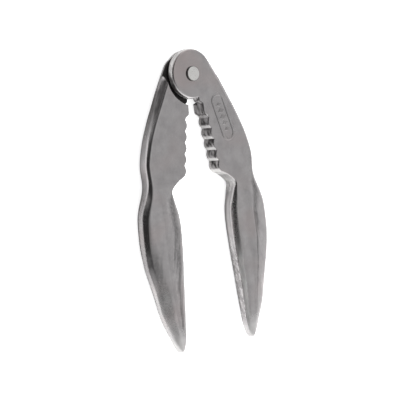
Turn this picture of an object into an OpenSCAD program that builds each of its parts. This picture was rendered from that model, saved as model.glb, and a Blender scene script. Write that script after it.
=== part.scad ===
// Double-lever nutcracker: two cast arms that cross at a half-lap hinge, held by one rivet.
// The pivot axis is Z at x = y = 0. The nutcracker lies flat on z = 0, its arms point to -Y,
// and it stands open as it lies when it is put down.

/* [Arms] */
// Distance from the pivot to the tip of a handle
arm_len = 152.4; // [150:0.1:158]
// Angle between the two arms as the nutcracker lies
open_deg = 17.8; // [6:0.1:60]
// Thickness of the hinge and the jaws
jaw_t = 9.1; // [8.6:0.1:10]
// Thickness of a handle at its thickest
handle_t = 12.6; // [12:0.1:13.4]
// Radius of the rounding along the outer edge beside the disc
shoulder_round = 4.2; // [3:0.1:4.3]
// Radius of the rounding along the outer edge of the jaw
jaw_round = 2.6; // [2:0.1:3.6]
// Radius of the rounding along the outer edge of the handle
handle_round = 4.6; // [3:0.1:5]

/* [Teeth] */
// Number of teeth on each jaw
teeth = 5; // [3:1:5]
// Distance from one tooth to the next
tooth_pitch = 6.2; // [5.6:0.1:6.2]
// Height of a tooth from valley to crest
tooth_h = 1.2; // [0.4:0.1:1.6]

/* [Hinge] */
// Radius of the disc on the front arm
front_disc_r = 13.7; // [12.5:0.1:14]
// Radius of the disc on the rear arm
rear_disc_r = 13.2; // [12.5:0.1:14]
// Radius of the shoulder that each arm keeps clear of the other arm's disc
shoulder_r = 17.4; // [16.5:0.1:19]
// Space between the two discs
lap_gap = 0.24; // [0.1:0.02:0.4]

/* [Rivet] */
// Diameter of the rivet's shank
shank_d = 6; // [5:0.1:6.6]
// Diameter of the rivet's heads
head_d = 8.2; // [7.6:0.1:10]
// Height of the front head
front_head_h = 1; // [0.8:0.1:2]
// Radial clearance of the shank in the rear arm's bore
running_fit = 0.06; // [0.02:0.01:0.1]
// Space between the rear head and the rear arm
head_gap = 0.1; // [0.05:0.01:0.3]

/* [Badge] */
// Length of the raised oval on the front arm's jaw
badge_len = 27; // [14:0.5:28]
// Angle between the badge and the length of the arm, in degrees
badge_turn = 7; // [0:1:18]
// Width of the raised oval
badge_w = 8.6; // [6:0.1:11]
// Width of the oval's rim
badge_rim = 1; // [0.5:0.1:1.4]
// Height of the oval's rim
badge_h = 0.25; // [0.1:0.05:0.5]

/* [Hidden] */

mid_z = handle_t / 2;                 // the handles rest on z = 0, and the arms are alike about mid_z
front_z = mid_z + jaw_t / 2;          // front face of the jaws
rear_z = mid_z - jaw_t / 2;           // rear face of the jaws
steps_in_corner = 4;                  // sides of a section's rounded corner
eps = 0.01;

// The arm is drawn along u, from the pivot to the tip, and v, across it with the inside positive.
back = -9;                                      // u where the casting ends inside the disc
first_valley = 25.6;                            // u of the valley before the first tooth
valley_v = -4.2;                                // v of the valleys between the teeth
jaw_end = first_valley + teeth * tooth_pitch;   // u where the last tooth ends
tip_start = arm_len - 8;                        // u where the tip begins to round off

// Outer edge: straight off the disc, out over the jaw, in at the waist, out over the handle
outer_edge = [[back, -10.3], [-4.5, -14.5], [0, -16.5], [10, -20.3], [20, -23.4], [30, -26.2], [40, -28.4],
              [51, -29.4], [63, -27.6], [80, -30.9], [92, -29.8], [106, -26.4], [120, -20.6], [134, -14.9],
              [145, -8.4], [arm_len, -4.6]];
// Inner edge beyond the teeth: sharp corner, waist, long soft bulge
inner_edge = [[jaw_end, -4.2], [60, -8.7], [65, -12], [70, -9.9], [77, -6.6], [86, -4.6], [100, -2.9],
              [115, -1.7], [130, -0.4], [143, 0.8], [arm_len, 1.2]];
// Inner edge before the teeth: the heel
heel_edge = [[back, 0.4], [15, 0.3], [17.6, -1.7], [22.4, -1.8], [24.6, -3.8], [first_valley, valley_v]];
// Half the thickness along the crest of the faces, and how far they fall from there to the outer and inner edge
half_t = [[back, jaw_t / 2], [56, jaw_t / 2], [84, handle_t / 2], [118, 5.6], [140, 4], [arm_len, 2.9]];
outer_drop = [[back, 0], [56, 0], [70, 0.8], [84, 2.2], [118, 2.9], [140, 2.2], [arm_len, 1.1]];
inner_drop = [[back, 0], [56, 0], [84, 1.4], [118, 1.5], [140, 1], [arm_len, 0.6]];
// Roundings along the outer and the inner edge
outer_round = [[back, shoulder_round], [12, shoulder_round], [30, 3.1], [56, jaw_round], [84, handle_round],
               [118, 3.2], [arm_len, 2.2]];
inner_round = [[back, 1.6], [17, 1.6], [22, 0.5], [56, 0.5], [66, 1.2], [76, 2.8], [95, 3.1], [118, 2.6],
               [140, 2], [arm_len, 1.6]];

// Slope of the curve through the knots k at knot i, flat where the curve turns back
function rise(k, i) = (k[i + 1][1] - k[i][1]) / (k[i + 1][0] - k[i][0]);
function slope(k, i) =
    i == 0 ? rise(k, 0) :
    i == len(k) - 1 ? rise(k, i - 1) :
    rise(k, i - 1) * rise(k, i) <= 0 ? 0 :
    2 / (1 / rise(k, i - 1) + 1 / rise(k, i));
// Value at x of the smooth curve through the knots k
function curve(k, x, i = 0) =
    i < len(k) - 2 && x > k[i + 1][0] ? curve(k, x, i + 1) :
    let (w = k[i + 1][0] - k[i][0], t = min(max((x - k[i][0]) / w, 0), 1))
    k[i][1] * (1 - t) * (1 - t) * (1 + 2 * t) + k[i + 1][1] * t * t * (3 - 2 * t)
    + slope(k, i) * w * t * (1 - t) * (1 - t) - slope(k, i + 1) * w * t * t * (1 - t);

function inner_v(u) =
    u <= first_valley ? curve(heel_edge, u) :
    u <= jaw_end ? valley_v + tooth_h * abs(sin(180 * (u - first_valley) / tooth_pitch)) :
    curve(inner_edge, u);

badge_at = [27.8, -13.8];                       // middle of the badge, as [u, v]

// How much of the section is left at u, where the tip rounds off
function tip_part(u) = u < tip_start ? 1 : sqrt(max(1 - pow((u - tip_start) / (arm_len - tip_start), 2), 0));

// One rounded corner of a section: quadrant q of a circle of radius r round [cv, cz]
function corner(cv, cz, r, q) = [for (i = [0 : steps_in_corner])
    [cv + r * cos(90 * (q + i / steps_in_corner)), cz + r * sin(90 * (q + i / steps_in_corner))]];

// How far a face stands over the outer edge at u, where p runs across the arm from -1 to 1 at the inner edge
function lift(u, p) = curve(outer_drop, u)
    - (p < 0 ? curve(outer_drop, u) * pow(-p, 1.5) : curve(inner_drop, u) * p * p);

// Section of the arm at u, as [v, z] about the arm's middle, with its faces crowned
function section(u) =
    let (part = tip_part(u),
         mid_v = (inner_v(u) + curve(outer_edge, u)) / 2,
         half_w = (inner_v(u) - curve(outer_edge, u)) / 2 * part,
         h = (curve(half_t, u) - curve(outer_drop, u)) * part,
         ro = min(curve(outer_round, u), h * 0.96, half_w * 0.96),
         ri = min(curve(inner_round, u), h * 0.96, half_w * 0.96),
         ring = concat(corner(half_w - ri, h - ri, ri, 0), [[0, h]], corner(ro - half_w, h - ro, ro, 1),
                       corner(ro - half_w, ro - h, ro, 2), [[0, -h]], corner(half_w - ri, ri - h, ri, 3)))
    [for (p = ring) [mid_v + p[0], p[1] * (1 + lift(u, p[0] / half_w) * part / h)]];

// Places along the arm at which it gets a section
stations = concat([back, -6.8, -4.5, -2, 0, 3, 6, 10, 13, 15, 15.7, 16.4, 17, 17.6, 19, 21, 22.4, 23.2, 24, 24.8],
    [for (i = [0 : 6 * teeth]) first_valley + i * tooth_pitch / 6],
    [58, 60, 62.5, 65, 67.5, 70], [for (u = [74 : 6 : 140]) u],
    [for (a = [0 : 16 : 80]) tip_start + (arm_len - tip_start) * sin(a)]);

// The whole arm as one lofted casting, with its tip at -Y and its inside at -X
module blank() {
    rings = [for (u = stations) [for (p = section(u)) [-p[0], -u, p[1]]]];
    n = len(rings[0]);
    last = len(rings) - 1;
    faces = concat([[for (i = [n - 1 : -1 : 0]) i]], [[for (i = [0 : n - 1]) last * n + i]],
        [for (s = [0 : last - 1]) for (i = [0 : n - 1])
            let (j = (i + 1) % n) each [[s * n + i, (s + 1) * n + j, (s + 1) * n + i],
                                        [s * n + i, s * n + j, (s + 1) * n + j]]]);
    translate([0, 0, mid_z])
        polyhedron([for (r = rings) each r], faces);
}

// Flat disc from z0 to z1 whose edge at z1 is rounded
module disc(r, z0, z1, edge) {
    rotate_extrude($fn = 96)
        union() {
            square_between(0, z0, r, z1 - edge);
            square_between(0, z0, r - edge, z1);
            translate([r - edge, z1 - edge])
                circle(edge, $fn = 32);
        }
}

module square_between(x0, y0, x1, y1) {
    translate([x0, y0])
        square([x1 - x0, y1 - y0]);
}

// Round clearance for the other arm's disc, from z0 up to z1
module shoulder_cut(z0, z1) {
    translate([0, 0, z0])
        cylinder(r = shoulder_r, h = z1 - z0, $fn = 128);
}

// Raised oval on the jaw's face, centred on the arm's flat
module badge() {
    translate([-badge_at[1], -badge_at[0], front_z - eps])
        rotate([0, 0, badge_turn])
            linear_extrude(badge_h + eps)
                difference() {
                    oval(badge_len, badge_w);
                    oval(badge_len - 2 * badge_rim, badge_w - 2 * badge_rim);
                }
}

module oval(length, width) {
    square([width, length - width], center = true);
    for (side = [-1, 1])
        translate([0, side * (length - width) / 2])
            circle(width / 2, $fn = 48);
}

// Front arm, whose disc lies over the other arm's
module right_arm() {
    color([0.66, 0.65, 0.66])
        rotate(open_deg / 2)
            difference() {
                union() {
                    difference() {
                        blank();
                        shoulder_cut(rear_z - 5, mid_z + lap_gap / 2);
                    }
                    disc(front_disc_r, mid_z + lap_gap / 2, front_z, 1);
                    badge();
                }
                translate([0, 0, rear_z - 1])
                    cylinder(d = shank_d, h = jaw_t + 2, $fn = 64);
            }
}

// Rear arm, the mirror image, whose disc lies under the front arm's
module left_arm() {
    color([0.62, 0.61, 0.62])
        rotate(-open_deg / 2)
            difference() {
                union() {
                    difference() {
                        mirror([1, 0, 0])
                            blank();
                        shoulder_cut(mid_z - lap_gap / 2, front_z + 5);
                    }
                    translate([0, 0, 2 * mid_z])
                        mirror([0, 0, 1])
                            disc(rear_disc_r, mid_z + lap_gap / 2, front_z, 2.2);
                }
                translate([0, 0, rear_z - 1])
                    cylinder(d = shank_d + 2 * running_fit, h = jaw_t + 2, $fn = 64);
            }
}

// Rivet through both discs: a flat front head, and a rear head that is closed over with a little play
module rivet() {
    color([0.80, 0.80, 0.81]) {
        disc(head_d / 2, front_z, front_z + front_head_h, 0.5);
        cylinder(d = shank_d, h = front_z + eps, $fn = 64);
        translate([0, 0, rear_z - head_gap])
            mirror([0, 0, 1])
                disc(head_d / 2, 0, rear_z - head_gap, 0.4);
    }
}

right_arm();
left_arm();
rivet();
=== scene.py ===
"""Nutcracker: two cast aluminium arms that turn on a rivet.

Builds the visible meshes, their materials, the light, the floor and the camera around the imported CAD.
"""

import math

import bpy
import numpy as np
from mathutils import Matrix, Vector


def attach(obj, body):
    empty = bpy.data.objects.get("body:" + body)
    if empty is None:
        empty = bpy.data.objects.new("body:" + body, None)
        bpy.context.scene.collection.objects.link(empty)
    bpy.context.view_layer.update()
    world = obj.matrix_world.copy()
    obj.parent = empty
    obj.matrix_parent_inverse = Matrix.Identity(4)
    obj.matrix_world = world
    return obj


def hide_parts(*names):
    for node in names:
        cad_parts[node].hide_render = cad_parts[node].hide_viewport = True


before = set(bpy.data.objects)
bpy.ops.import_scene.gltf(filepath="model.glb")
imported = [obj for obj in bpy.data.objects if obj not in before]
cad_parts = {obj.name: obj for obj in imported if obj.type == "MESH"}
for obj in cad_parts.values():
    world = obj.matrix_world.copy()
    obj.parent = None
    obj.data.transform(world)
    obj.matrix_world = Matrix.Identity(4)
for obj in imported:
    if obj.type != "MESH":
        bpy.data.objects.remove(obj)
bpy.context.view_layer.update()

MM = 0.001

# ---------------------------------------- the object's measures, in mm, as in the CAD
# Where a value has two keys, 1 is the right arm, whose disc lies in front, and -1 the left arm
ARM_LEN = 152.4
OPEN_DEG = 17.8                     # between the two arms at rest
JAW_T = 9.1
HANDLE_T = 12.6
MID_Z = HANDLE_T / 2
FRONT_Z = MID_Z + JAW_T / 2
REAR_Z = MID_Z - JAW_T / 2
DISC_R = {1: 13.7, -1: 13.2}
DISC_EDGE = {1: 1.2, -1: 2.2}       # rounding of the disc's edges
LAP_EDGE = 0.3                      # rounding round the faces that lie on each other, on the inner side
LAP_ROUND = {1: 0.6, -1: 1.4}       # the same on the outer side
SHOULDER_R = 17.4
SHOULDER_EDGE = 0.5
LAP_GAP = 0.24
SHANK_R = 3
BORE_PLAY = {1: 0.02, -1: 0.12}     # by how much the hole's radius is over the shank's
HEAD_R = 4.1
FRONT_HEAD_H = 1.0
HEAD_GAP = 0.1
TOOTH_PITCH = 6.2
TOOTH_H = 1.2
TEETH = 5
FIRST_VALLEY = 25.6
VALLEY_V = -4.2
JAW_END = FIRST_VALLEY + TEETH * TOOTH_PITCH
TIP = 8                             # length over which the tip rounds off
TIP_START = ARM_LEN - TIP
BACK = -9                           # where the arm's casting ends inside the disc
BADGE_AT = (27.8, -13.8)
BADGE_LEN = 27
BADGE_TURN = math.radians(7)        # from the arm's length towards its outer edge
BADGE_W = 8.6
BADGE_RIM = 1.0
BADGE_H = 0.25
LOZENGE_PITCH = 3.6
LOZENGES_EACH_WAY = 2               # from the middle one

# Knots (u, value): u runs from the pivot to the tip, v across the arm with the inside positive
OUTER_EDGE = [(-9, -10.3), (-4.5, -14.5), (0, -16.5), (10, -20.3), (20, -23.4), (30, -26.2), (40, -28.4),
              (51, -29.4), (63, -27.6), (80, -30.9), (92, -29.8), (106, -26.4), (120, -20.6), (134, -14.9),
              (145, -8.4), (ARM_LEN, -4.6)]
INNER_EDGE = [(JAW_END, -4.2), (60, -8.7), (65, -12), (70, -9.9), (77, -6.6), (86, -4.6), (100, -2.9),
              (115, -1.7), (130, -0.4), (143, 0.8), (ARM_LEN, 1.2)]
HEEL_EDGE = [(-9, 0.4), (15, 0.3), (17.6, -1.7), (22.4, -1.8), (24.6, -3.8), (FIRST_VALLEY, VALLEY_V)]
# the inner edge with its teeth smoothed away, for values that should not ripple along the jaw
SMOOTH_INNER = [(BACK, -1.4), (20, -2), (40, -3.6), (56, -4.6), (66, -11.4), (77, -7.1), (86, -4.6),
                (100, -2.9), (115, -1.7), (130, -0.4), (143, 0.8), (ARM_LEN, 1.2)]
HALF_T = [(BACK, JAW_T / 2), (56, JAW_T / 2), (84, HANDLE_T / 2), (118, 5.6), (140, 4), (ARM_LEN, 2.9)]
OUTER_DROP = [(BACK, 0), (56, 0), (70, 0.8), (84, 2.2), (118, 2.9), (140, 2.2), (ARM_LEN, 1.1)]
INNER_DROP = [(BACK, 0), (56, 0), (84, 1.4), (118, 1.5), (140, 1), (ARM_LEN, 0.6)]
OUTER_ROUND = [(BACK, 4.2), (12, 4.2), (30, 3.1), (56, 2.6), (84, 4.6), (118, 3.2), (ARM_LEN, 2.2)]
INNER_ROUND = [(BACK, 1.6), (17, 1.6), (22, 0.5), (56, 0.5), (66, 1.2), (76, 2.8), (95, 3.1), (118, 2.6),
               (140, 2), (ARM_LEN, 1.6)]


def hermite(knots, x):
    """Smooth curve through the knots, flat where it turns back, at every x."""
    kx, ky = np.array(knots, float).T
    rise = np.diff(ky) / np.diff(kx)
    slope = np.empty(len(kx))
    slope[0], slope[-1] = rise[0], rise[-1]
    for i in range(1, len(kx) - 1):
        a, b = rise[i - 1], rise[i]
        slope[i] = 0 if a * b <= 0 else 2 / (1 / a + 1 / b)
    i = np.clip(np.searchsorted(kx, x, side="left") - 1, 0, len(kx) - 2)
    w = kx[i + 1] - kx[i]
    t = np.clip((x - kx[i]) / w, 0, 1)
    return (ky[i] * (1 - t) ** 2 * (1 + 2 * t) + ky[i + 1] * t * t * (3 - 2 * t)
            + slope[i] * w * t * (1 - t) ** 2 - slope[i + 1] * w * t * t * (1 - t))


def inner_v(u):
    """The arm's inner edge: the heel, the teeth, then the handle."""
    teeth = VALLEY_V + TOOTH_H * np.abs(np.sin(np.pi * (u - FIRST_VALLEY) / TOOTH_PITCH))
    return np.where(u <= FIRST_VALLEY, hermite(HEEL_EDGE, u),
                    np.where(u <= JAW_END, teeth, hermite(INNER_EDGE, u)))


# Dense tables of the curves, so that looking a value up costs little
TABLE_U = np.arange(BACK, ARM_LEN + 0.01, 0.05)
CURVES = {"outer": OUTER_EDGE, "inner_smooth": SMOOTH_INNER, "half": HALF_T, "drop_out": OUTER_DROP,
          "drop_in": INNER_DROP, "round_out": OUTER_ROUND, "round_in": INNER_ROUND}
TABLES = {name: hermite(knots, TABLE_U) for name, knots in CURVES.items()}


def at(name, u):
    """Value of a named curve at u."""
    return np.interp(u, TABLE_U, TABLES[name])


def smoothstep(a, b, x):
    """0 at a and before it, 1 at b and past it, eased between them; b may be less than a."""
    t = np.clip((x - a) / (b - a), 0, 1)
    return t * t * (3 - 2 * t)


def smooth_max(a, b, k):
    """Maximum of a and b, with the crease between them blended over k."""
    h = np.clip(0.5 + 0.5 * (a - b) / k, 0, 1)
    return b * (1 - h) + a * h + k * h * (1 - h)


def noise2(seed, u, v, size, octaves=2):
    """Soft random waves over (u, v), about -1 to 1, whose features are about size mm across."""
    rng = np.random.default_rng(seed)
    total = 0
    for octave in range(octaves):
        for _ in range(7):
            angle, phase = rng.uniform(0, 2 * np.pi, 2)
            k = 2 * np.pi / (size / 2 ** octave * rng.uniform(0.8, 1.5))
            total = total + np.sin(k * (np.cos(angle) * u + np.sin(angle) * v) + phase) / 2 ** octave
    return total / 5


# ---------------------------------------- distance to the arm's outline, as a table over (u, v)
FINE = 0.2
FINE_U = np.arange(-18, ARM_LEN + 4, FINE)
FINE_V = np.arange(-34, 17, FINE)
CHUNK = 4096                        # points measured at once, which bounds the memory used


def outline():
    """The arm's outline as one closed run of points."""
    us = np.concatenate([np.arange(BACK, TIP_START, 0.35),
                         TIP_START + TIP * np.sin(np.linspace(0, np.pi / 2, 24))])
    part = np.sqrt(np.clip(1 - (np.clip(us - TIP_START, 0, None) / TIP) ** 2, 0, 1))
    inner, outer = inner_v(us), hermite(OUTER_EDGE, us)
    middle, half = (inner + outer) / 2, (inner - outer) / 2 * part
    return np.concatenate([np.stack([us, middle + half], 1), np.stack([us, middle - half], 1)[::-1]])


def distance_table():
    """Signed distance to the outline at every place of the fine grid, negative inside."""
    a = outline()
    b = np.roll(a, -1, axis=0)
    keep = np.hypot(*(b - a).T) > 1e-6
    a, b = a[keep], b[keep]
    grid_u, grid_v = np.meshgrid(FINE_U, FINE_V, indexing="ij")
    points = np.stack([grid_u.ravel(), grid_v.ravel()], 1)
    squared = np.empty(len(points))
    inside = np.zeros(len(points), bool)
    ab = b - a
    length2 = (ab ** 2).sum(1)
    for start in range(0, len(points), CHUNK):
        run = slice(start, start + CHUNK)
        p = points[run, None, :]
        ap = p - a
        t = np.clip((ap * ab).sum(2) / length2, 0, 1)
        squared[run] = ((ap - t[..., None] * ab) ** 2).sum(2).min(1)
        spans = (a[:, 1] > p[..., 1]) != (b[:, 1] > p[..., 1])
        with np.errstate(divide="ignore", invalid="ignore"):
            cross_u = a[:, 0] + (p[..., 1] - a[:, 1]) / ab[:, 1] * ab[:, 0]
        inside[run] = (spans & (p[..., 0] < cross_u)).sum(1) % 2 == 1
    d = np.sqrt(squared)
    return np.where(inside, -d, d).reshape(grid_u.shape)


ARM_DISTANCE = distance_table()


def arm_distance(u, v):
    """Signed distance to the arm's outline, read from the table between its places."""
    fu = np.clip((u - FINE_U[0]) / FINE, 0, len(FINE_U) - 1.001)
    fv = np.clip((v - FINE_V[0]) / FINE, 0, len(FINE_V) - 1.001)
    i, j = fu.astype(int), fv.astype(int)
    s, t = fu - i, fv - j
    table = ARM_DISTANCE
    return ((table[i, j] * (1 - s) + table[i + 1, j] * s) * (1 - t)
            + (table[i, j + 1] * (1 - s) + table[i + 1, j + 1] * s) * t)


# ---------------------------------------- the arm as a solid
def stadium(u, v, length, width):
    """Distance to an oval with straight sides, long along u."""
    return np.hypot(np.maximum(np.abs(u) - (length - width) / 2, 0), v) - width / 2


def ornament(u, v):
    """Height of the badge over the jaw's face, 0 to 1: a raised oval rim round a row of lozenges."""
    du, dv = u - BADGE_AT[0], v - BADGE_AT[1]
    along = du * math.cos(BADGE_TURN) - dv * math.sin(BADGE_TURN)
    over = du * math.sin(BADGE_TURN) + dv * math.cos(BADGE_TURN)
    middle = stadium(along, over, BADGE_LEN - BADGE_RIM, BADGE_W - BADGE_RIM)
    rim = smoothstep(BADGE_RIM * 0.9, BADGE_RIM * 0.1, np.abs(middle))
    which = np.clip(np.round(along / LOZENGE_PITCH), -LOZENGES_EACH_WAY, LOZENGES_EACH_WAY)
    size = 2.0 - 0.22 * np.abs(which)
    lozenge = np.abs(along - which * LOZENGE_PITCH) / (0.85 * size) + np.abs(over) / (1.25 * size)
    return np.maximum(rim, 0.85 * smoothstep(1.1, 0.6, lozenge))


def fields(u, v, side):
    """What depends only on the place in the arm's plane: distances, half thicknesses and edge radii."""
    outer, inner = at("outer", u), at("inner_smooth", u)
    across = np.clip((v - (inner + outer) / 2) / ((inner - outer) / 2), -1, 1)
    drop = np.where(across < 0, at("drop_out", u) * np.abs(across) ** 1.5, at("drop_in", u) * across * across)
    half = at("half", u) - drop

    # the unevenness of the casting, stronger on the handle
    on_handle = smoothstep(72, 90, u)
    waves = 0.045 + 0.03 * on_handle
    streaks = 0.026 * on_handle
    front = half + waves * noise2(11 + side, 0.6 * u, v, 14) + streaks * noise2(15 + side, 0.12 * u, v, 4.5)
    back = half + 0.045 * noise2(21 + side, u, v, 12) + streaks * noise2(25 + side, 0.12 * u, v, 4.5)
    if side > 0:
        front = front + BADGE_H * ornament(u, v)

    inward = smoothstep(-0.35, 0.35, across)
    edge = at("round_out", u) * (1 - inward) + at("round_in", u) * inward
    return {"arm": arm_distance(u, v),
            "edge": np.minimum(edge, 0.96 * (at("half", u) - at("drop_out", u))),
            "rho": np.hypot(u, v),
            "front": front,
            "back": back,
            "outer_side": smoothstep(-2, -6, v),
            "rib": 0.055 * smoothstep(60, 74, u) * (1 + 0.5 * noise2(42, u, v, 11)),
            "rib_drift": 1.5 * noise2(41, u, v, 30)}


def rounded(d, r, z, half):
    """Outline d given the thickness 2 x half, with its edges rounded to r."""
    q1 = d + r
    q2 = np.abs(z) - half + r
    return np.minimum(np.maximum(q1, q2), 0) + np.hypot(np.maximum(q1, 0), np.maximum(q2, 0)) - r


def solid(f, z, side):
    """Signed distance to the arm at height z over its middle, where f is what fields() gives."""
    half = np.where(z > 0, f["front"], f["back"])
    ribs = f["rib"] * np.sin(2.1 * z + f["rib_drift"])
    casting = rounded(f["arm"] + ribs, f["edge"], z, half)
    disc = rounded(f["rho"] - DISC_R[side], DISC_EDGE[side], z, half)
    lap_round = LAP_EDGE + (LAP_ROUND[side] - LAP_EDGE) * f["outer_side"]
    with_disc = smooth_max(np.minimum(casting, disc), LAP_GAP / 2 - side * z, lap_round)
    with_shoulder = smooth_max(casting, rounded(SHOULDER_R - f["rho"], SHOULDER_EDGE, z, half), LAP_EDGE)
    return np.maximum(np.minimum(with_disc, with_shoulder), SHANK_R + BORE_PLAY[side] - f["rho"])


def distance(points, side):
    """Signed distance of the points (u, v, z) to the arm."""
    return solid(fields(points[:, 0], points[:, 1], side), points[:, 2], side)


def gradient(points, side, reach=0.12):
    """Slope of the arm's distance at the points, from differences over the reach each way."""
    slope = np.empty_like(points)
    for axis in range(3):
        ahead, behind = points.copy(), points.copy()
        ahead[:, axis] += reach
        behind[:, axis] -= reach
        slope[:, axis] = (distance(ahead, side) - distance(behind, side)) / (2 * reach)
    return slope


# ---------------------------------------- the arms' meshes
def surface_net(values, origin, step):
    """Vertices and quads of the zero surface of a grid of values, negative inside."""
    negative = values < 0
    nx, ny, nz = values.shape
    corners = [(i, j, k) for i in (0, 1) for j in (0, 1) for k in (0, 1)]

    def corner_view(grid, c):
        return grid[c[0]:nx - 1 + c[0], c[1]:ny - 1 + c[1], c[2]:nz - 1 + c[2]]

    # one vertex in each cell that the surface crosses, in the middle of where it cuts the cell's edges
    count = sum(corner_view(negative, c).astype(np.int8) for c in corners)
    cells = np.argwhere((count > 0) & (count < len(corners)))
    ids = np.full((nx - 1, ny - 1, nz - 1), -1, np.int64)
    ids[tuple(cells.T)] = np.arange(len(cells))
    total = np.zeros((len(cells), 3))
    hits = np.zeros(len(cells))
    for c in corners:
        for axis in range(3):
            if c[axis]:
                continue
            end = list(c)
            end[axis] = 1
            a = values[tuple((cells + c).T)]
            b = values[tuple((cells + end).T)]
            cut = (a < 0) != (b < 0)
            t = np.where(cut, a / np.where(cut, a - b, 1), 0)
            point = np.array(c, float) + 0 * cells
            point[:, axis] += t
            total += point * cut[:, None]
            hits += cut
    vertices = origin + step * (cells + total / hits[:, None])

    # one quad round each edge of the grid that the surface cuts
    quads = []
    for axis, (b, c) in enumerate(((1, 2), (2, 0), (0, 1))):
        low = [slice(1, n - 1) for n in values.shape]
        low[axis] = slice(0, values.shape[axis] - 1)
        high = list(low)
        high[axis] = slice(1, values.shape[axis])
        here, there = negative[tuple(low)], negative[tuple(high)]
        for cut, flip in ((here & ~there, False), (~here & there, True)):
            start = np.argwhere(cut) + [0 if a == axis else 1 for a in range(3)]
            ring = []
            for db, dc in ((-1, -1), (0, -1), (0, 0), (-1, 0)):
                cell = start.copy()
                cell[:, b] += db
                cell[:, c] += dc
                ring.append(ids[tuple(cell.T)])
            quad = np.stack(ring, 1)
            quads.append(quad[:, ::-1] if flip else quad)
    return vertices, np.concatenate(quads)


STEP = 0.38
GRID_LOW = (-14.6, -31.8, -HANDLE_T / 2 - 0.9)
GRID_HIGH = (ARM_LEN + 1.2, 14.8, HANDLE_T / 2 + 1.0)
SETTLE_ROUNDS = 3
SETTLE_MOST = 0.3                   # mm that a vertex may move in one round


def settle(points, side):
    """Moves the points along the slope onto the arm's surface."""
    for _ in range(SETTLE_ROUNDS):
        slope = gradient(points, side)
        move = slope * (distance(points, side) / np.maximum((slope ** 2).sum(1), 0.25))[:, None]
        size = np.linalg.norm(move, axis=1)
        points = points - move * np.minimum(1, SETTLE_MOST / np.maximum(size, 1e-9))[:, None]
    return points


def arm_mesh(name, side):
    """One arm: side 1 is the front arm, its disc on top, and -1 its mirror image, its disc below."""
    gu, gv, gz = (np.arange(low, high, STEP) for low, high in zip(GRID_LOW, GRID_HIGH))
    uu, vv = np.meshgrid(gu, gv, indexing="ij")
    flat = {key: field[:, :, None] for key, field in fields(uu, vv, side).items()}
    points, quads = surface_net(solid(flat, gz[None, None, :], side), np.array(GRID_LOW), STEP)
    points = settle(points, side)
    normals = gradient(points, side)
    normals /= np.linalg.norm(normals, axis=1)[:, None]

    # arm plane to the object's frame: v to -x (front arm) or +x, u to -y, then opened about the pivot
    turn = math.radians(side * OPEN_DEG / 2)
    place = np.array([[math.cos(turn), -math.sin(turn), 0], [math.sin(turn), math.cos(turn), 0], [0, 0, 1]])
    lay = np.array([[0, -side, 0], [-1, 0, 0], [0, 0, 1]], float)
    matrix = place @ lay
    if np.linalg.det(matrix) < 0:
        quads = quads[:, ::-1]
    mesh = bpy.data.meshes.new(name)
    mesh.from_pydata(((points @ matrix.T + [0, 0, MID_Z]) * MM).tolist(), [], quads.tolist())
    mesh.validate()
    mesh.shade_smooth()
    mesh.normals_split_custom_set_from_vertices((normals @ matrix.T).tolist())
    # the tone holds the finish, painted shade and painted highlights
    point_values(mesh, "tone", finish_and_painted_light(points, normals, side))
    point_values(mesh, "tarnish", tarnish(points, side))
    return add_object(name, mesh)


def point_values(mesh, name, values):
    """Stores one number for each vertex, for the material to read."""
    attribute = mesh.attributes.new(name, "FLOAT", "POINT")
    attribute.data.foreach_set("value", values.astype(np.float32))


def add_object(name, data):
    """New object in the scene, made of a mesh, a light or a camera."""
    made = bpy.data.objects.new(name, data)
    bpy.context.scene.collection.objects.link(made)
    return made


# ---------------------------------------- how the castings are finished, and where shade and highlights are painted on them, vertex by vertex
WALL = (0.75, 0.45)                 # size of a normal's z where a bend becomes a wall, and where it is one
WEAR = {1: 0.08, -1: 0.22}          # how much the outer flank of the handle's lower half is rubbed matt


def tarnish(points, side):
    """Warm brown stain, 0 to 1: on the disc and in faint patches along the arm."""
    u, v, z = points.T
    disc = smoothstep(15, 7, np.hypot(u + 4, v - 4)) * (0.85 + 0.25 * noise2(31, u, v, 9))
    patches = np.clip(0.55 * noise2(32 + side, u + 0.3 * z, v, 26), 0, 0.6)
    return np.clip(np.maximum(disc, patches), 0, 1)


def bent(normals, face, steep):
    """0 on the faces, 1 where the surface has turned down to the steep value of its normal's z."""
    return smoothstep(face, steep, np.abs(normals[:, 2]))


def by_outer(u, v, far, near):
    """1 at the outer edge and up to near mm from it, 0 from far mm on."""
    return smoothstep(far, near, v - at("outer", u))


def by_inner(u, v, far, near):
    """1 at the inner edge and up to near mm from it, 0 from far mm on."""
    return smoothstep(far, near, at("inner_smooth", u) - v)


def span(u, start, full, fade, end):
    """Rises along the arm from start to full, and falls from fade to end."""
    return smoothstep(start, full, u) * smoothstep(end, fade, u)


def recess_shade(u, v, z, side):
    """Painted shade in the recess that the other arm's disc leaves open, up to the shoulder."""
    rho = np.hypot(u, v)
    half = at("half", u)
    below = -side * z               # height over the arm's middle, on the side of the other arm's disc
    cut = smoothstep(SHOULDER_R + 0.5, SHOULDER_R + 0.1, rho) * smoothstep(half - 0.2, half - 0.9, below)
    return cut * smoothstep(DISC_R[side] - 1.0, DISC_R[side] + 0.2, rho) * smoothstep(-1.2, -0.3, below)


def outer_flank_shade(u, v, z, normals, streaks):
    """Streaky painted shade on the jaw's outer wall, and on the bend over it near the disc."""
    wall = bent(normals, *WALL) * by_outer(u, v, 6, 3)
    bend = bent(normals, 0.9, 0.8) * by_outer(u, v, 6, 3) * smoothstep(0.5, 1.5, z)
    return np.maximum(wall * span(u, 8, 12, 20, 44) * (0.5 + 0.3 * streaks),
                      bend * span(u, 3.5, 5.5, 20, 34) * (0.62 + 0.25 * streaks))


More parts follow.
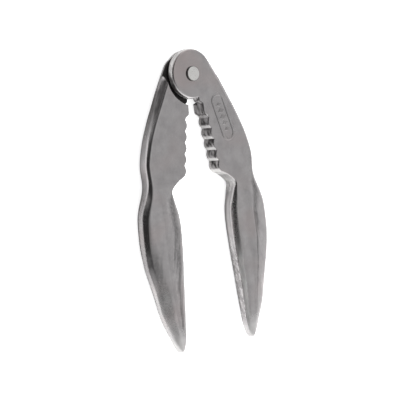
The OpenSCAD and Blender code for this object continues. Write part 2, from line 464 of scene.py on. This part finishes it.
def handle_wall_shade(u, v, normals):
    """Painted shade on the walls of the handle."""
    wall = bent(normals, *WALL)
    outer = 0.22 * wall * by_outer(u, v, 6, 3) * span(u, 60, 74, 106, 122)
    inner = 0.3 * wall * by_inner(u, v, 2.5, 1.0) * smoothstep(94, 110, u)
    return np.maximum(outer, inner)


def rubbed_bends(u, v, normals, side, streaks):
    """Matt rubbed metal on the handle: along the bend to its inner wall, and on its lower outer flank."""
    off_wall = smoothstep(0.3, 0.5, np.abs(normals[:, 2]))
    inner_bend = bent(normals, 0.985, 0.93) * by_inner(u, v, 8, 5) * off_wall
    growing = 0.22 * smoothstep(66, 82, u) + 0.5 * smoothstep(92, 114, u) * (1 + 0.6 * (streaks - 0.5))
    outer_flank = bent(normals, 0.99, 0.94) * by_outer(u, v, 14, 10) * smoothstep(101, 124, u)
    return np.maximum(inner_bend * growing, outer_flank * WEAR[side] * (0.8 + 0.4 * streaks))


def finish_and_painted_light(points, normals, side):
    """How the casting is finished, with painted shade and painted highlights: 0 is grime and painted shade,
    0.5 polished metal, and 1 pale metal, raw or rubbed, and painted highlights.
    """
    u, v, z = points.T
    spots = np.clip(0.5 + 0.8 * (noise2(5, u, 1.3 * z, 3.1) + noise2(8, u + 50, z, 5.3, 1)), 0, 1)
    streaks = 0.5 + 0.5 * noise2(6, z, 0.15 * u, 1.6)
    wall = bent(normals, *WALL)
    inner_wall = wall * by_inner(u, v, 2.5, 1.0)
    rho = np.hypot(u, v)
    # painted shade in the seam between the two arms' laps round the pivot
    seam = smoothstep(1.1, 0.3, np.abs(z)) * smoothstep(19, 17, rho)

    # the teeth are pale, a painted highlight, on the sides that face the tip, and so is the jaw's end; the
    # rest of them is darkened with painted shade
    teeth = inner_wall * span(u, 23, 25, 64, 72)
    jaw_end = smoothstep(JAW_END - 1.2, JAW_END - 0.4, u) * (1 - 0.3 * spots)
    pale = teeth * np.maximum(smoothstep(0.22, 0.5, normals[:, 0]), jaw_end)
    teeth_shade = teeth * (1 - pale) * (0.2 + (0.2 + 0.65 * spots) * smoothstep(-3.6, -1.2, z))
    # painted shade along the heel's edge next to the gap
    heel_edge = bent(normals, 0.97, 0.88) * by_inner(u, v, 4, 2.5)
    heel = heel_edge * span(u, 12.5, 13.5, 23, 25) * (0.15 + 0.8 * streaks)

    # painted highlight: the disc's wall is made paler, as by a brighter reflection
    rim = wall * smoothstep(1.5, 0.5, np.abs(rho - DISC_R[side])) * (0.6 + 0.4 * spots)
    flecks = inner_wall * smoothstep(85, 112, u) * smoothstep(0.7, 1.1, spots + 0.4 * streaks)
    # painted highlight over the tip
    tip = smoothstep(136, 149, u) * (0.45 + 0.25 * spots)

    # the darks are painted shade, and the darker slopes of the badge; the lights are raw or rubbed metal and
    # painted highlights
    dark = [recess_shade(u, v, z, side), 0.8 * seam, outer_flank_shade(u, v, z, normals, streaks), heel, teeth_shade,
            handle_wall_shade(u, v, normals)]
    light = [pale, rim * (1 - seam), 0.45 * flecks, rubbed_bends(u, v, normals, side, streaks), tip]
    if side > 0:
        # the badge is darker on the slopes of its relief
        raised = ornament(u, v) * smoothstep(0, 1, z)
        dark.append(1.9 * raised * (1 - raised) * (0.7 + 0.3 * spots))
    dark, light = (np.clip(np.maximum.reduce(layers), 0, 1) for layers in (dark, light))
    return np.clip(0.5 + 0.5 * light - 0.5 * dark, 0, 1)


right_arm = arm_mesh("right_arm_casting", 1)
left_arm = arm_mesh("left_arm_casting", -1)


# ---------------------------------------- the rivet, turned about the pivot's axis
def lathe(name, profile, around=96):
    """Closed mesh of revolution from (radius, z) points, the first and last on the axis."""
    rings = profile[1:-1]
    angles = [2 * math.pi * i / around for i in range(around)]
    vertices = [(r * math.cos(a) * MM, r * math.sin(a) * MM, z * MM) for r, z in rings for a in angles]
    bottom, top = len(vertices), len(vertices) + 1
    vertices += [(0, 0, profile[0][1] * MM), (0, 0, profile[-1][1] * MM)]
    faces = []
    for k in range(len(rings) - 1):
        for i in range(around):
            j = (i + 1) % around
            faces.append((k * around + i, k * around + j, (k + 1) * around + j, (k + 1) * around + i))
    last = (len(rings) - 1) * around
    for i in range(around):
        j = (i + 1) % around
        faces.append((bottom, j, i))
        faces.append((top, last + i, last + j))
    mesh = bpy.data.meshes.new(name)
    mesh.from_pydata(vertices, [], faces)
    mesh.shade_smooth()
    return mesh


def head_corner(r, z, edge, start, steps=6):
    """Points round a head's outer corner, whose rounding has its centre at (r - edge, z)."""
    return [(r - edge + edge * math.cos(a), z + edge * math.sin(a))
            for a in (math.radians(start + 90 * i / steps) for i in range(steps + 1))]


def rivet_profile():
    """(radius, z) points in mm from the rear head, which is a little hollow, to the front one."""
    rear_top = REAR_Z - HEAD_GAP
    front_under = FRONT_Z + 0.03
    front_top = FRONT_Z + FRONT_HEAD_H
    rear_edge, front_edge = 0.5, 0.35
    points = [(0, 0.12), (1.0, 0.10), (2.2, 0.03)]
    points += head_corner(HEAD_R, rear_edge, rear_edge, -90)
    points += [(HEAD_R, rear_top - 0.1), (HEAD_R - 0.1, rear_top)]
    points += [(SHANK_R + 0.05, rear_top), (SHANK_R, rear_top + 0.05)]
    points += [(SHANK_R, z) for z in np.linspace(REAR_Z + 0.5, FRONT_Z - 0.5, 6)]
    points += [(SHANK_R, FRONT_Z - 0.01), (SHANK_R + 0.05, front_under)]
    points += [(HEAD_R - 0.15, front_under), (HEAD_R, FRONT_Z + 0.15)]
    points += head_corner(HEAD_R, front_top - front_edge, front_edge, 0)
    points += [(2.6, front_top - 0.02), (1.6, front_top - 0.05)]
    points += [(0.8, front_top - 0.07), (0, front_top - 0.075)]
    return points


def rivet_mesh(name):
    """The rivet, with painted shade on the sides of its heads."""
    mesh = lathe(name, rivet_profile())
    radius = np.hypot(*np.array([vertex.co[:2] for vertex in mesh.vertices]).T) / MM
    # painted shade: the sides of the heads are darkened
    point_values(mesh, "tone", 0.5 - 0.42 * smoothstep(HEAD_R - 0.35, HEAD_R - 0.2, radius))
    return add_object(name, mesh)


rivet = rivet_mesh("rivet_steel")


# ---------------------------------------- materials
# the darkest tone, for grime and for painted shade, and the palest, for raw casting and for painted
# highlights
GRIME_AND_SHADE = (0.07, 0.066, 0.066, 1)
RAW_AND_HIGHLIGHT = (0.95, 0.94, 0.93, 1)
STAIN = (0.53, 0.475, 0.472, 1)
ALUMINIUM = (0.54, 0.523, 0.526, 1)
ALUMINIUM_DARK = (0.46, 0.443, 0.448, 1)
STEEL = (0.93, 0.92, 0.90, 1)
STEEL_DARK = (0.85, 0.84, 0.82, 1)


def new_material(name):
    """A material, its nodes and links, and its shader."""
    material = bpy.data.materials.new(name)
    material.use_nodes = True
    nodes = material.node_tree.nodes
    return material, nodes, material.node_tree.links, nodes["Principled BSDF"]


def socket(sockets, key):
    """Socket by number or name: a Mix node has several of one name, and its data type enables one."""
    return sockets[key] if isinstance(key, int) else next(s for s in sockets if s.name == key and s.enabled)


def node(nodes, kind, inputs=None, **settings):
    """New node, with its settings made first, because they decide which inputs it has."""
    made = nodes.new(kind)
    for key, value in settings.items():
        setattr(made, key, value)
    for key, value in (inputs or {}).items():
        socket(made.inputs, key).default_value = value
    return made


def add_tone(nodes, links, clean, shader):
    """Stains the clean metal's colour, and mixes it by the mesh's own tone towards grime and painted shade,
    or towards raw casting and painted highlights.
    """
    tone = node(nodes, "ShaderNodeAttribute", attribute_name="tone", attribute_type="GEOMETRY")
    stain = node(nodes, "ShaderNodeAttribute", attribute_name="tarnish", attribute_type="GEOMETRY")
    stained = node(nodes, "ShaderNodeMix", {"B": STAIN}, data_type="RGBA")
    links.new(stain.outputs["Fac"], socket(stained.inputs, "Factor"))
    links.new(clean, socket(stained.inputs, "A"))
    to_grime_or_shade = node(nodes, "ShaderNodeMapRange", {"From Min": 0.0, "From Max": 0.5})
    to_raw_or_highlight = node(nodes, "ShaderNodeMapRange", {"From Min": 0.5, "From Max": 1.0})
    grimed_or_shaded = node(nodes, "ShaderNodeMix", {"A": GRIME_AND_SHADE}, data_type="RGBA")
    pale = node(nodes, "ShaderNodeMix", {"B": RAW_AND_HIGHLIGHT}, data_type="RGBA")
    for ranged, mixed in ((to_grime_or_shade, grimed_or_shaded), (to_raw_or_highlight, pale)):
        links.new(tone.outputs["Fac"], ranged.inputs["Value"])
        links.new(ranged.outputs["Result"], socket(mixed.inputs, "Factor"))
    links.new(socket(stained.outputs, "Result"), socket(grimed_or_shaded.inputs, "B"))
    links.new(socket(grimed_or_shaded.outputs, "Result"), socket(pale.inputs, "A"))
    links.new(socket(pale.outputs, "Result"), shader.inputs["Base Color"])
    return tone.outputs["Fac"]


def worn_metal(name, color, dark, roughness):
    """Polished metal: cloudy stains, scratches along the arm, small pits, and by tone grime and painted
    shade, or raw casting and painted highlights.
    """
    material, nodes, links, shader = new_material(name)
    shader.inputs["Metallic"].default_value = 1.0
    where = node(nodes, "ShaderNodeTexCoord")

    clouds = node(nodes, "ShaderNodeTexNoise", {"Scale": 160.0, "Detail": 4.0, "Roughness": 0.6})
    links.new(where.outputs["Object"], clouds.inputs["Vector"])
    pits = node(nodes, "ShaderNodeTexNoise", {"Scale": 900.0, "Detail": 3.0, "Roughness": 0.6})
    links.new(where.outputs["Object"], pits.inputs["Vector"])
    stretch = node(nodes, "ShaderNodeMapping", {"Scale": (3000.0, 180.0, 3000.0)})
    links.new(where.outputs["Object"], stretch.inputs["Vector"])
    scratches = node(nodes, "ShaderNodeTexNoise", {"Scale": 1.0, "Detail": 3.0, "Roughness": 0.7})
    links.new(stretch.outputs["Vector"], scratches.inputs["Vector"])

    clean = node(nodes, "ShaderNodeValToRGB")
    for element, position, value in zip(clean.color_ramp.elements, (0.32, 0.62), (dark, color)):
        element.position = position
        element.color = value
    links.new(clouds.outputs["Fac"], clean.inputs["Fac"])
    tone = add_tone(nodes, links, clean.outputs["Color"], shader)

    # rough where the pits are, and rougher the further the tone is from polished
    rough = node(nodes, "ShaderNodeMapRange", {"From Min": 0.3, "From Max": 0.7,
                                               "To Min": roughness - 0.05, "To Max": roughness + 0.08})
    links.new(pits.outputs["Fac"], rough.inputs["Value"])
    off_polish = node(nodes, "ShaderNodeMath", {1: 0.5}, operation="SUBTRACT")
    unpolished = node(nodes, "ShaderNodeMath", operation="ABSOLUTE")
    rougher = node(nodes, "ShaderNodeMath", {1: 1.1}, operation="MULTIPLY_ADD")
    links.new(tone, off_polish.inputs[0])
    links.new(off_polish.outputs["Value"], unpolished.inputs[0])
    links.new(unpolished.outputs["Value"], rougher.inputs[0])
    links.new(rough.outputs["Result"], rougher.inputs[2])
    links.new(rougher.outputs["Value"], shader.inputs["Roughness"])

    height = node(nodes, "ShaderNodeMath", operation="ADD")
    links.new(scratches.outputs["Fac"], height.inputs[0])
    links.new(pits.outputs["Fac"], height.inputs[1])
    bump = node(nodes, "ShaderNodeBump", {"Strength": 0.12, "Distance": 0.00004})
    links.new(height.outputs["Value"], bump.inputs["Height"])
    links.new(bump.outputs["Normal"], shader.inputs["Normal"])
    return material


aluminium = worn_metal("cast_aluminium", ALUMINIUM, ALUMINIUM_DARK, 0.15)
steel = worn_metal("rivet_metal", STEEL, STEEL_DARK, 0.30)

for piece, body, cad_node, slot_name, material in ((right_arm, "front_lever", "right_arm", "arm", aluminium),
                                                   (left_arm, "rear_lever", "left_arm", "arm", aluminium),
                                                   (rivet, "front_lever", "rivet", "rivet", steel)):
    piece.data.materials.append(material)
    for cad_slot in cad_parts[cad_node].material_slots:
        cad_slot.material = material
    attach(piece, body)
    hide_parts(cad_node)


# ---------------------------------------- floor
FLOOR_HALF = 6.0
FLOOR_Z = -0.0002
PAPER_WHITE = (0.85, 0.85, 0.85, 1)
GLARE = 0.8


def paper():
    """White paper. Seen directly it is over-exposed, so that shadows on it stay faint."""
    material, nodes, links, shader = new_material("white_paper")
    shader.inputs["Base Color"].default_value = PAPER_WHITE
    shader.inputs["Roughness"].default_value = 0.9
    glare = node(nodes, "ShaderNodeEmission", {"Color": (1, 1, 1, 1), "Strength": GLARE})
    bright = node(nodes, "ShaderNodeAddShader")
    links.new(shader.outputs["BSDF"], bright.inputs[0])
    links.new(glare.outputs["Emission"], bright.inputs[1])
    rays = node(nodes, "ShaderNodeLightPath")
    seen = node(nodes, "ShaderNodeMixShader")
    links.new(rays.outputs["Is Camera Ray"], seen.inputs[0])
    links.new(shader.outputs["BSDF"], seen.inputs[1])
    links.new(bright.outputs["Shader"], seen.inputs[2])
    links.new(seen.outputs["Shader"], nodes["Material Output"].inputs["Surface"])
    return material


floor_mesh = bpy.data.meshes.new("floor")
floor_corners = [(x * FLOOR_HALF, y * FLOOR_HALF, FLOOR_Z) for x, y in ((-1, -1), (1, -1), (1, 1), (-1, 1))]
floor_mesh.from_pydata(floor_corners, [], [(0, 1, 2, 3)])
floor_mesh.materials.append(paper())
add_object("floor", floor_mesh)


# ---------------------------------------- studio
# How bright the room is by where a direction points, added up over the three axes. Each list goes from 0,
# which is left (-x), near (-y) or down (-z), to 1, which is right, far or up.
ACROSS_ROOM = ((0.50, 0.045), (0.54, 0.07), (0.625, 0.50), (0.73, 0.64), (0.79, 0.51), (0.82, 0.61),
               (0.838, 0.52), (0.856, 1.0), (0.870, 0.26), (0.895, 0.28), (0.92, 0.75))
ALONG_ROOM = ((0.05, 1.3), (0.11, 1.1), (0.17, 0.55), (0.315, 0.30), (0.36, 0.02), (0.42, 0.0), (0.66, 0.0),
              (0.80, 0.30), (1.0, 0.45))
UP_ROOM = ((0.515, 0.35), (0.57, 0.0), (0.967, 0.0), (0.995, 0.27))


def ramp(nodes, stops):
    """Colour ramp node of grey (position, value) stops, eased between them."""
    made = nodes.new("ShaderNodeValToRGB")
    made.color_ramp.interpolation = "EASE"
    elements = made.color_ramp.elements
    while len(elements) < len(stops):
        elements.new(0.5)
    for element, (position, value) in zip(elements, stops):
        element.position = position
        element.color = (value, value, value, 1)
    return made


def studio():
    """World of a dim room, light on the right, at the near wall, low down and a little straight overhead."""
    world = bpy.data.worlds.new("studio")
    world.use_nodes = True
    bpy.context.scene.world = world
    nodes, links = world.node_tree.nodes, world.node_tree.links
    where = node(nodes, "ShaderNodeTexCoord")
    split = node(nodes, "ShaderNodeSeparateXYZ")
    links.new(where.outputs["Generated"], split.inputs["Vector"])
    total = None
    for axis, stops in (("X", ACROSS_ROOM), ("Y", ALONG_ROOM), ("Z", UP_ROOM)):
        from_zero = node(nodes, "ShaderNodeMath", {1: 0.5, 2: 0.5}, operation="MULTIPLY_ADD")
        links.new(split.outputs[axis], from_zero.inputs[0])
        part = ramp(nodes, stops)
        links.new(from_zero.outputs["Value"], part.inputs["Fac"])
        add = node(nodes, "ShaderNodeMath", {1: 0.0}, operation="ADD")
        links.new(part.outputs["Color"], add.inputs[0])
        if total:
            links.new(total, add.inputs[1])
        total = add.outputs["Value"]
    background = nodes["Background"]
    background.inputs["Color"].default_value = (1, 1, 1, 1)
    links.new(total, background.inputs["Strength"])


def soft_box(name, middle, across, along, radiance, glossy=True):
    """Rectangular area light with its two sides given as vectors, which shines against across x along."""
    across, along = Vector(across), Vector(along)
    light = bpy.data.lights.new(name, "AREA")
    light.shape = "RECTANGLE"
    light.size, light.size_y = across.length, along.length
    light.energy = radiance * math.pi * across.length * along.length
    box = add_object(name, light)
    x, y = across.normalized(), along.normalized()
    turn = Matrix((x, y, x.cross(y))).transposed()
    box.matrix_world = Matrix.Translation(Vector(middle)) @ turn.to_4x4()
    box.visible_camera = False
    box.visible_glossy = glossy


studio()
# the key and the overhead box light the paper only, and leave no hard glare on the metal
soft_box("key_light", (0.30, -0.70, 0.50), (0.36, 0.16, 0), (-0.09, 0.2, 0.34), 17.0, glossy=False)
soft_box("overhead", (-0.1, -0.07, 1.0), (1.2, 0, 0), (0, 1.2, 0), 0.8, glossy=False)
soft_box("fill_card", (-0.27, -0.43, 0.22), (0, 0.5, 0), (0.36, 0, 0.45), 0.4)

# ---------------------------------------- camera at the photograph's viewing angle
AZIMUTH, ELEVATION, ROLL = math.radians(37.777), math.radians(3.792), math.radians(6.167)
DISTANCE = 900                      # mm from the rivet's place on the front face, along the view
ACROSS, UP = -4.07, 69.0            # mm by which that point lies right of and above the middle of the view
SENSOR_MM = 36
LENS_MM = 148.405
CLIP_NEAR, CLIP_FAR = 0.01, 50

ca, sa, ce, se = math.cos(AZIMUTH), math.sin(AZIMUTH), math.cos(ELEVATION), math.sin(ELEVATION)
level_x, level_y = Vector((ca, 0, sa)), Vector((sa * se, ce, -ca * se))
toward = Vector((-sa * ce, se, ca * ce))
right = math.cos(ROLL) * level_x - math.sin(ROLL) * level_y
up = math.sin(ROLL) * level_x + math.cos(ROLL) * level_y
eye = (Vector((0, 0, FRONT_Z)) + DISTANCE * toward - ACROSS * right - UP * up) * MM
camera = add_object("camera", bpy.data.cameras.new("camera"))
camera.data.sensor_width = SENSOR_MM
camera.data.lens = LENS_MM
camera.data.clip_start, camera.data.clip_end = CLIP_NEAR, CLIP_FAR
camera.matrix_world = Matrix.Translation(eye) @ Matrix((right, up, toward)).transposed().to_4x4()
bpy.context.scene.camera = camera
bpy.context.scene.view_settings.view_transform = "Standard"
